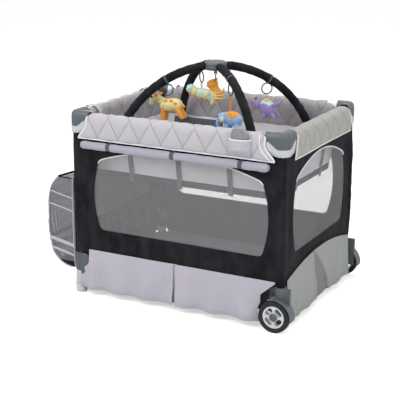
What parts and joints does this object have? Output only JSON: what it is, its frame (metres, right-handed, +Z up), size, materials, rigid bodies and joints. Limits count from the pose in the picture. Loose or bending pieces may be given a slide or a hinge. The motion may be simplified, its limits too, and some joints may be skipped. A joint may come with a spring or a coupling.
{
  "type": "travel play yard",
  "caption": "Folding travel play yard with cloth and mesh walls, a lift-out bassinet, arched toy bar with hanging toys, wheels at one end and an organiser bag.",
  "frame": {"origin": "middle of the base hub's foot, on the floor", "axes": "+Z up, +X along the long side towards the wheels, -Y towards the front side with the rolled cover"},
  "size_m": [1.1743, 0.8041, 0.991],
  "materials": {
    "steel_tube": "grey powder coat",
    "dark_plastic": "dark blue-grey moulding",
    "pale_plastic": "pale grey moulding",
    "tyre": "black rubber",
    "black_cloth": "black woven polyester with grey mesh",
    "grey_cloth": "light grey woven polyester",
    "quilted_cloth": "light grey quilted cloth with white piping",
    "right_cloth": "warm grey quilted cloth",
    "bassinet_cloth": "light grey cloth",
    "floor_cloth": "grey cloth",
    "arm_cloth": "black padded sleeve",
    "strap_cloth": "dark grey webbing",
    "bag_cloth": "grey cloth with mesh pockets",
    "toy_yellow": "yellow plush",
    "toy_mint": "mint plush",
    "toy_orange": "orange plush",
    "toy_blue": "blue plush",
    "toy_purple": "purple plush",
    "unit_plastic": "grey moulding"
  },
  "bodies": {
    "post_front_left": {"corner_post_front_left": "steel_tube", "corner_cap_front_left": "dark_plastic", "foot_front_left": "dark_plastic", "wall_front": "black_cloth", "wall_left": "black_cloth", "skirt_front": "grey_cloth", "skirt_left": "grey_cloth"},
    "base_hub": {"base_hub": "dark_plastic", "floor_cloth": "floor_cloth"},
    "post_front_right": {"corner_post_front_right": "steel_tube", "corner_cap_front_right": "dark_plastic", "wheel_bracket_front_right": "dark_plastic", "wall_right": "black_cloth", "skirt_right": "grey_cloth"},
    "post_back_left": {"corner_post_back_left": "steel_tube", "corner_cap_back_left": "dark_plastic", "foot_back_left": "dark_plastic", "wall_back": "black_cloth", "skirt_back": "grey_cloth"},
    "post_back_right": {"corner_post_back_right": "steel_tube", "corner_cap_back_right": "dark_plastic", "wheel_bracket_back_right": "dark_plastic"},
    "bassinet": {"bassinet_tub": "bassinet_cloth", "quilted_cover": "quilted_cloth", "right_cover": "right_cloth", "mattress_pad": "bassinet_cloth", "cover_roll": "grey_cloth", "roll_straps": "strap_cloth", "sound_unit": "unit_plastic"},
    "toy_bar": {"toy_bar_legs": "arm_cloth", "toy_bar_hub": "dark_plastic"},
    "organiser_bag": {"organiser_bag": "bag_cloth"},
    "base_leg_front_left": {"base_leg_front_left": "steel_tube"},
    "base_leg_front_right": {"base_leg_front_right": "steel_tube"},
    "base_leg_back_left": {"base_leg_back_left": "steel_tube"},
    "base_leg_back_right": {"base_leg_back_right": "steel_tube"},
    "toy_giraffe": {"toy_giraffe": "toy_yellow"},
    "toy_worm": {"toy_worm": "toy_mint"},
    "toy_tiger": {"toy_tiger": "toy_orange"},
    "toy_elephant": {"toy_elephant": "toy_blue"},
    "toy_bug": {"toy_bug": "toy_purple"},
    "wheel_front_right": {"wheel_tyre_front_right": "tyre", "wheel_rim_front_right": "pale_plastic"},
    "wheel_back_right": {"wheel_tyre_back_right": "tyre", "wheel_rim_back_right": "pale_plastic"},
    "rail_front_left": {"rail_front_left": "steel_tube"},
    "rail_left_front": {"rail_left_front": "steel_tube"},
    "rail_front_right": {"rail_front_right": "steel_tube"},
    "rail_right_front": {"rail_right_front": "steel_tube"},
    "rail_back_left": {"rail_back_left": "steel_tube"},
    "rail_left_back": {"rail_left_back": "steel_tube"},
    "rail_back_right": {"rail_back_right": "steel_tube"},
    "rail_right_back": {"rail_right_back": "steel_tube"},
    "latch_button_front": {"latch_button_front": "pale_plastic"},
    "latch_button_back": {"latch_button_back": "pale_plastic"},
    "latch_button_left": {"latch_button_left": "pale_plastic"},
    "latch_button_right": {"latch_button_right": "pale_plastic"}
  },
  "joints": [
    {"name": "frame_fold", "type": "hinge", "parent": "post_front_left", "child": "base_leg_front_left", "pos_m": [-0.44883, -0.33491, 0.062], "axis": [0.5805, -0.8143, 0], "range_deg": [0, 83], "deforming": ["wall_front", "wall_back", "wall_left", "wall_right", "skirt_front", "skirt_back", "skirt_left", "skirt_right", "floor_cloth"]},
    {"name": "hub_level", "type": "hinge", "parent": "base_leg_front_left", "child": "base_hub", "pos_m": [-0.03083, -0.03691, 0.062], "axis": [0.5805, -0.8143, 0], "range_deg": [-83, 0]},
    {"name": "leg_fold_front_right", "type": "hinge", "parent": "base_hub", "child": "base_leg_front_right", "pos_m": [0.03083, -0.03691, 0.062], "axis": [0.5805, 0.8143, 0], "range_deg": [0, 83]},
    {"name": "post_level_front_right", "type": "hinge", "parent": "base_leg_front_right", "child": "post_front_right", "pos_m": [0.44883, -0.33491, 0.062], "axis": [0.5805, 0.8143, 0], "range_deg": [-83, 0]},
    {"name": "leg_fold_back_left", "type": "hinge", "parent": "base_hub", "child": "base_leg_back_left", "pos_m": [-0.03083, 0.03691, 0.062], "axis": [-0.5805, -0.8143, 0], "range_deg": [0, 83]},
    {"name": "post_level_back_left", "type": "hinge", "parent": "base_leg_back_left", "child": "post_back_left", "pos_m": [-0.44883, 0.33491, 0.062], "axis": [-0.5805, -0.8143, 0], "range_deg": [-83, 0]},
    {"name": "leg_fold_back_right", "type": "hinge", "parent": "base_hub", "child": "base_leg_back_right", "pos_m": [0.03083, 0.03691, 0.062], "axis": [-0.5805, 0.8143, 0], "range_deg": [0, 83]},
    {"name": "post_level_back_right", "type": "hinge", "parent": "base_leg_back_right", "child": "post_back_right", "pos_m": [0.44883, 0.33491, 0.062], "axis": [-0.5805, 0.8143, 0], "range_deg": [-83, 0]},
    {"name": "rail_fold_front_left", "type": "hinge", "parent": "post_front_left", "child": "rail_front_left", "pos_m": [-0.418, -0.35, 0.768], "axis": [0, 1, 0], "range_deg": [0, 83]},
    {"name": "rail_fold_left_front", "type": "hinge", "parent": "post_front_left", "child": "rail_left_front", "pos_m": [-0.47, -0.298, 0.768], "axis": [-1, 0, 0], "range_deg": [0, 83]},
    {"name": "rail_fold_front_right", "type": "hinge", "parent": "post_front_right", "child": "rail_front_right", "pos_m": [0.418, -0.35, 0.768], "axis": [0, -1, 0], "range_deg": [0, 83]},
    {"name": "rail_fold_right_front", "type": "hinge", "parent": "post_front_right", "child": "rail_right_front", "pos_m": [0.47, -0.298, 0.768], "axis": [-1, 0, 0], "range_deg": [0, 83]},
    {"name": "rail_fold_back_left", "type": "hinge", "parent": "post_back_left", "child": "rail_back_left", "pos_m": [-0.418, 0.35, 0.768], "axis": [0, 1, 0], "range_deg": [0, 83]},
    {"name": "rail_fold_left_back", "type": "hinge", "parent": "post_back_left", "child": "rail_left_back", "pos_m": [-0.47, 0.298, 0.768], "axis": [1, 0, 0], "range_deg": [0, 83]},
    {"name": "rail_fold_back_right", "type": "hinge", "parent": "post_back_right", "child": "rail_back_right", "pos_m": [0.418, 0.35, 0.768], "axis": [0, -1, 0], "range_deg": [0, 83]},
    {"name": "rail_fold_right_back", "type": "hinge", "parent": "post_back_right", "child": "rail_right_back", "pos_m": [0.47, 0.298, 0.768], "axis": [1, 0, 0], "range_deg": [0, 83]},
    {"name": "bassinet_lift", "type": "slide", "parent": "base_hub", "child": "bassinet", "axis": [0, 0, 1], "range_m": [0, 0.36216]},
    {"name": "toy_bar_lift", "type": "slide", "parent": "bassinet", "child": "toy_bar", "axis": [0, 0, 1], "range_m": [0, 0.2]},
    {"name": "bag_lift", "type": "slide", "parent": "bassinet", "child": "organiser_bag", "axis": [0, 0, 1], "range_m": [0, 0.15]},
    {"name": "toy_swing_giraffe", "type": "hinge", "parent": "toy_bar", "child": "toy_giraffe", "pos_m": [-0.16226, -0.14105, 0.91704], "axis": [-0.6621, -0.5756, -0.4799], "range_deg": [-20, 20]},
    {"name": "toy_swing_worm", "type": "hinge", "parent": "toy_bar", "child": "toy_worm", "pos_m": [-0.1283, 0.11153, 0.93849], "axis": [-0.6983, 0.607, -0.3795], "range_deg": [-20, 20]},
    {"name": "toy_swing_elephant", "type": "hinge", "parent": "toy_bar", "child": "toy_elephant", "pos_m": [0.12981, -0.11284, 0.93767], "axis": [0.6969, -0.6058, -0.3839], "range_deg": [-20, 20]},
    {"name": "toy_swing_bug", "type": "hinge", "parent": "toy_bar", "child": "toy_bug", "pos_m": [0.17811, 0.15483, 0.9048], "axis": [0.6415, 0.5576, -0.5268], "range_deg": [-20, 20]},
    {"name": "toy_swing_tiger", "type": "hinge", "parent": "toy_bar", "child": "toy_tiger", "pos_m": [0, 0, 0.945], "axis": [1, 0, 0], "range_deg": [-20, 20]},
    {"name": "wheel_spin_front_right", "type": "hinge", "parent": "post_front_right", "child": "wheel_front_right", "pos_m": [0.459, -0.3823, 0.066], "axis": [0, 1, 0], "continuous": true},
    {"name": "wheel_spin_back_right", "type": "hinge", "parent": "post_back_right", "child": "wheel_back_right", "pos_m": [0.459, 0.3823, 0.066], "axis": [0, 1, 0], "continuous": true},
    {"name": "button_press_front", "type": "slide", "parent": "rail_front_left", "child": "latch_button_front", "axis": [0, 0, 1], "range_m": [0, 0.005]},
    {"name": "button_press_back", "type": "slide", "parent": "rail_back_left", "child": "latch_button_back", "axis": [0, 0, 1], "range_m": [0, 0.005]},
    {"name": "button_press_left", "type": "slide", "parent": "rail_left_front", "child": "latch_button_left", "axis": [0, 0, 1], "range_m": [0, 0.005]},
    {"name": "button_press_right", "type": "slide", "parent": "rail_right_front", "child": "latch_button_right", "axis": [0, 0, 1], "range_m": [0, 0.005]}
  ],
  "couplings": [
    {"joint": "hub_level", "follows": "frame_fold", "ratio": -1},
    {"joint": "leg_fold_front_right", "follows": "frame_fold", "ratio": 1},
    {"joint": "post_level_front_right", "follows": "frame_fold", "ratio": -1},
    {"joint": "leg_fold_back_left", "follows": "frame_fold", "ratio": 1},
    {"joint": "post_level_back_left", "follows": "frame_fold", "ratio": -1},
    {"joint": "leg_fold_back_right", "follows": "frame_fold", "ratio": 1},
    {"joint": "post_level_back_right", "follows": "frame_fold", "ratio": -1},
    {"joint": "rail_fold_front_left", "follows": "frame_fold", "ratio": 1},
    {"joint": "rail_fold_left_front", "follows": "frame_fold", "ratio": 1},
    {"joint": "rail_fold_front_right", "follows": "frame_fold", "ratio": 1},
    {"joint": "rail_fold_right_front", "follows": "frame_fold", "ratio": 1},
    {"joint": "rail_fold_back_left", "follows": "frame_fold", "ratio": 1},
    {"joint": "rail_fold_left_back", "follows": "frame_fold", "ratio": 1},
    {"joint": "rail_fold_back_right", "follows": "frame_fold", "ratio": 1},
    {"joint": "rail_fold_right_back", "follows": "frame_fold", "ratio": 1},
    {"joint": "bassinet_lift", "follows": "frame_fold", "m_per_rad": 0.25}
  ]
}
